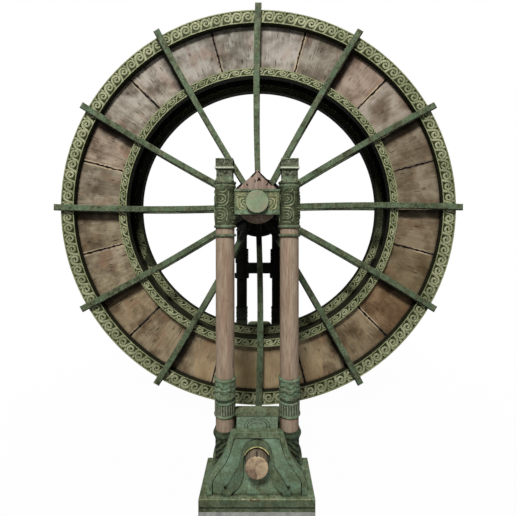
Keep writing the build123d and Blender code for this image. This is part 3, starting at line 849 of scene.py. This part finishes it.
# Pale weathered planks: greyer up high, partly as painted light, and browner and blacker below the spokes,
# where a shadow is painted.
# The grain runs out from the axle and is drawn about 26 mm wide so that it shows.
board_timber, put, place = new_material("weathered_planks")
x, rise, radius = from_axle(put, place)
y = put("SeparateXYZ", place).outputs[1]
angle = put("Math ARCTAN2", rise, x)
turn = put("Math MULTIPLY", angle, seams / (2 * math.pi))
index = put("Math FLOOR", turn)
plank = (put("Math MULTIPLY", angle, arc_radius), radius, index)
streak = put("TexNoise", along_planks(put, plank, 38.0, 2.2, 7.3), Scale=1.0, Detail=6.0, Roughness=0.68)
blotch = put("TexNoise", along_planks(put, plank, 6.0, 3.0, 3.1), Scale=1.0, Detail=4.0)
knots = put("TexVoronoi", along_planks(put, plank, 5.0, 3.6, 1.0), Scale=1.0)
checks = put("TexNoise", along_planks(put, plank, 55.0, 5.5, 1.7), Scale=1.0, Detail=1.0)
soft = put("TexNoise", place, Scale=3.2, Detail=7.0, Roughness=0.56, Distortion=0.4)
smear = put("TexNoise", put("Mapping", place, Location=(9, 4, 2)), Scale=3.4, Detail=6.0, Roughness=0.6)
body = put("Math ADD", put("Math MULTIPLY", streak, 0.3), put("Math MULTIPLY", soft, 0.7))
tone = put("ValToRGB", body, stops=((0.41, "#7b7268"), (0.49, "#979086"), (0.57, "#b0aaa1")))
tone = patches(put, tone, blotch, 0.54, 0.68, "#a8a8a8", "#93705f")
tone = darken(put, tone, 0.8, smear, (0.34, "#a39b90"), (0.52, "#ffffff"))
# Painted light, partly a weathered tone: warmer and a little darker low down, cooler and brighter up high
height = put("Math MULTIPLY_ADD", put("Math DIVIDE", rise, 3.0), 0.5, 0.5)
daylight = ((0.02, "#f6ebcf"), (0.3, "#efe4c9"), (0.5, "#fff8ea"), (0.95, "#f7fbff"))
tone = darken(put, tone, 1.0, height, *daylight)
# A tone for each plank, then knots and checks
dice = put("TexWhiteNoise", noise_dimensions="1D", W=index)
tone = darken(put, tone, 0.75, dice, (0.0, "#d2c8bc"), (0.5, "#ece8e2"), (1.0, "#ffffff"))
tone = darken(put, tone, 0.6, knots, (0.05, "#5a4a40"), (0.16, "#ffffff"))
tone = darken(put, tone, 0.85, checks, (0.27, "#3a3028"), (0.31, "#ffffff"))
# Painted light: yellower and lighter at the very bottom between the posts. Browner to the right, and a few
# odd planks
painted_light_low = all_of(put, put("MapRange", rise, -2.0, -2.5), within(put, x, -1.0, 1.0))
tone = tint(put, tone, painted_light_low, "#b0966f", 0.5)
tone = tint(put, tone, put("MapRange", x, 0.8, 2.2), "#6b5439", 0.3)
odd = put("TexWhiteNoise", noise_dimensions="1D", W=put("Math ADD", index, 40.0))
odd_tones = ((0.15, "#e6e8de"), (0.4, "#ffffff"), (0.7, "#fff8f2"), (0.9, "#f4dccf"))
tone = darken(put, tone, 0.7, odd, *odd_tones)
# Painted shadow below the spokes, full to 70 mm and gone at 190 mm, with a wavy edge
spoke_shadow, lean = below_spoke(put, place)
spoke_shadow = put("Math ADD", spoke_shadow, put("Math MULTIPLY", put("Math SUBTRACT", soft, 0.5), 0.12))
below = put("Math GREATER_THAN", spoke_shadow, 0.0)
tone = tint(put, tone, all_of(put, put("MapRange", spoke_shadow, 0.19, 0.07), below, lean), "#0c0905", 0.88)
# Planks darken towards their edges, which are bare and pale in places and black in the seam.
# Side is nothing on a plank's middle line and a half in the seam.
side = put("Math ABSOLUTE", put("Math SUBTRACT", put("Math FRACT", turn), 0.5))
ragged = put("TexNoise", place, Scale=9.0, Detail=6.0, Roughness=0.7)
side = put("Math ADD", side, put("Math MULTIPLY", put("Math SUBTRACT", ragged, 0.5), 0.03))
tone = tint(put, tone, put("MapRange", side, 0.45, 0.485), "#574d43", 0.8)
bare = put("TexNoise", put("Mapping", place, Location=(2, 7, 5)), Scale=1.3, Detail=3.0)
bare = all_of(put, within(put, side, 0.452, 0.484), put("MapRange", bare, 0.48, 0.56))
tone = tint(put, tone, bare, "#b9a587", 0.7)
tone = tint(put, tone, put("MapRange", side, 0.484, 0.491), "#0d0a07")
# Dirt and painted shade in corners
tone = grime_and_shade(put, tone, 0.07, "#1c1813")
# Painted shade: dark on the faces that look in towards the floats, near black there above the axle and in
# patches below
back = put("Math LESS_THAN", put("Math ABSOLUTE", y), board_inner_face)
tone = tint(put, tone, back, "#1a1c11", 0.93)
tone = tint(put, tone, inside(put, place, board_inner_face), "#0a0906", 0.95)
level = put("Math ADD", put("Math ADD", streak, soft), put("MapRange", checks, 0.24, 0.34))
coat(board_timber, tone, 0.82, level, 0.003)
clad(board_timber, "front_boards", "back_boards")


# Pitch in the seams
# Black pitch pressed into the seams between the boards, which stands out unevenly
# on both faces.

# Pitch: black, with a dull shine
pitch = plain("black_pitch", "#0f0b08", 0.8)
board_length = 0.685
pitch_width = 0.02
pitch_proud = 0.002
pitch_short = 0.01
pitch_cuts = 19
unevenness = 0.012
squash = 0.12
for side in ("front", "back"):
    low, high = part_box(f"{side}_boards")
    seam_middle = Vector((0, (low.y + high.y) / 2, axle_z + high.x - board_length / 2))
    bpy.ops.object.select_all(action="DESELECT")
    bpy.ops.mesh.primitive_cube_add(size=1, location=seam_middle)
    strip = bpy.context.object
    strip.name = f"{side}_seam_pitch"
    bpy.ops.object.transform_apply(location=True, rotation=True, scale=True)
    bpy.ops.object.mode_set(mode="EDIT")
    # The strip starts too deep, and the squash below takes most of the unevenness out of its depth
    strip_depth = (high.y - low.y + 2 * pitch_proud) / squash
    strip_size = (pitch_width, strip_depth, board_length - pitch_short)
    bpy.ops.transform.resize(value=strip_size, center_override=seam_middle)
    bpy.ops.mesh.select_mode(type="EDGE")
    bpy.ops.mesh.select_all(action="DESELECT")
    bpy.ops.object.mode_set(mode="OBJECT")
    for edge in strip.data.edges:
        first, last = (strip.data.vertices[index].co for index in edge.vertices)
        edge.select = abs(first.z - last.z) > board_length / 2
    bpy.ops.object.mode_set(mode="EDIT")
    bpy.ops.mesh.subdivide(number_cuts=pitch_cuts)
    bpy.ops.mesh.select_all(action="SELECT")
    bpy.ops.mesh.spin(
        dupli=True, steps=seams - 1, angle=2 * math.pi * (seams - 1) / seams,
        center=(0, 0, axle_z), axis=(0, 1, 0),
    )
    bpy.ops.mesh.select_all(action="SELECT")
    bpy.ops.transform.vertex_random(offset=unevenness, uniform=1.0, normal=0.0, seed=7)
    bpy.ops.transform.resize(value=(1, squash, 1), center_override=seam_middle)
    bpy.ops.mesh.normals_make_consistent(inside=False)
    bpy.ops.object.mode_set(mode="OBJECT")
    strip.data.materials.append(pitch)
    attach(strip, "wheel")


# Floats
# Radial paddles of the same planks, which stand between the two shrouds and part
# the wheel into its buckets.

# Planks painted nearly black as the wheel's inner shade, with grain along the axle
shaded_float_timber = long_grain(
    "painted_shade_floats", ("#14110e", "#1f1a16", "#2a241e"), stain="#181410", along=1.6, across=30, axis="Y",
)
clad(shaded_float_timber, "floats")


# Spokes and hubs
# Long flat bars of green bronze over the rings, slightly bowed, pinned to thick
# round hubs on the axle.
spoke_edge = 0.031


def spoke_painted_shade(put, place, tone, mottle):
    """A painted shadow along the lower edge, and painted shade on the roots where the spokes lie on the hub.
    """
    _, rise, radius = from_axle(put, place)
    low = put("MapRange", rise, -0.02, -0.2, To_Min=0.0, To_Max=0.2)
    lee, lean = below_spoke(put, place)
    # Painted shadow along the lower edge of each spoke
    under = all_of(put, put("MapRange", lee, spoke_edge, spoke_edge + 0.006), lean)
    tone = tint(put, tone, under, "#070805", 0.92)
    # Painted shade on the roots near the hub
    shaded_root = put("MapRange", put("Math SUBTRACT", radius, low), 0.45, 0.36)
    return tint(put, tone, shaded_root, "#030302")


# Verdigris on bars: darker olive than the castings, with few patches, and painted shade on the lower edges
# and roots
spoke_bronze = patina(
    "spoke_verdigris", ("#454b36", "#60674d", "#7b8268"),
    patch="#687d62", patch_size=0.12, fleck="#625c3e", streak=0.2, marks=spoke_painted_shade,
)
clad(spoke_bronze, "front_spokes", "back_spokes")
# Bronze in the wheel's own shade, painted black as that shade
shaded_hub_bronze = patina(
    "painted_shade_hub_bronze", ("#020202", "#040403", "#060605"),
    patch="#040504", patch_size=0.2, fleck="#040303",
)
clad(shaded_hub_bronze, "front_hub", "back_hub")


# Tie beam
# A bronze bar between the back posts, painted dark as shade, with a ribbed collar and a ring round each of
# them.

# Bronze painted blackish green as shade, with brown flecks
shaded_tie_bronze = patina(
    "painted_shade_tie_bronze", ("#1d211a", "#2b3126", "#3a4232"),
    patch="#3a4a3c", patch_size=0.12, fleck="#2a221a",
)
clad(shaded_tie_bronze, "back_tie_beam")


# Floor, camera and light
# A plain pale floor, the camera straight in front at the photograph's height,
# a soft lamp high in front, a weaker one behind, and a low even sky.
floor_size = 120
shadow_reach = 3.0
shadow_end = 7.0
camera_place = (0.055, -5.388, 3.154)
aim = Vector((0, 0, 3.2))
bpy.ops.mesh.primitive_plane_add(size=floor_size, location=(0, 0, 0))
floor = bpy.context.object
floor.name = "floor"
# Matt paint, which the camera sees as white, a trace greyer near the object
floor_paint = bpy.data.materials.new("pale_floor")
floor_paint.use_nodes = True
tree = floor_paint.node_tree
put = functools.partial(put_node, tree)
place = put("TexCoord").outputs["Object"]
away = put("VectorMath LENGTH", place).outputs["Value"]
share = put("MapRange", away, shadow_reach, shadow_end, To_Min=0.98, To_Max=1.0)
seen = all_of(put, put("LightPath").outputs["Is Camera Ray"], share)
glow = put("Emission", Color="#ffffff", Strength=1.0)
matt = put("BsdfDiffuse", Color="#b8b8b8")
blend = put("MixShader", seen, matt, glow)
tree.links.new(blend.outputs[0], tree.nodes["Material Output"].inputs["Surface"])
floor.data.materials.append(floor_paint)

bpy.ops.object.camera_add(location=camera_place, rotation=(math.radians(90), 0, 0))
camera = bpy.context.object
camera.data.sensor_width = 36
camera.data.lens = 23.02
camera.data.shift_x = -0.0078
camera.data.shift_y = -0.0669
scene = bpy.context.scene
scene.camera = camera

# Place, size, power, and whether the lamp may show in gloss
lamps = (((-1.8, -12.5, 14.5), 3.4, 3300, True), ((3.0, 13.0, 11.0), 5.0, 2100, False))
for spot, size, power, glints in lamps:
    bpy.ops.object.light_add(type="AREA", location=spot)
    lamp = bpy.context.object
    lamp.data.shape = "DISK"
    lamp.data.size = size
    lamp.data.energy = power
    lamp.visible_glossy = glints
    lamp.rotation_euler = (aim - lamp.location).to_track_quat("-Z", "Y").to_euler()

sky = bpy.data.worlds.new("plain_sky")
scene.world = sky
sky.use_nodes = True
backdrop = sky.node_tree.nodes["Background"]
rays = put_node(sky.node_tree, "LightPath")
strength = put_node(sky.node_tree, "MapRange", rays.outputs["Is Camera Ray"], To_Min=0.06, To_Max=1.0)
sky.node_tree.links.new(strength.outputs[0], backdrop.inputs["Strength"])
backdrop.inputs["Color"].default_value = (1, 1, 1, 1)

scene.view_settings.view_transform = "Standard"
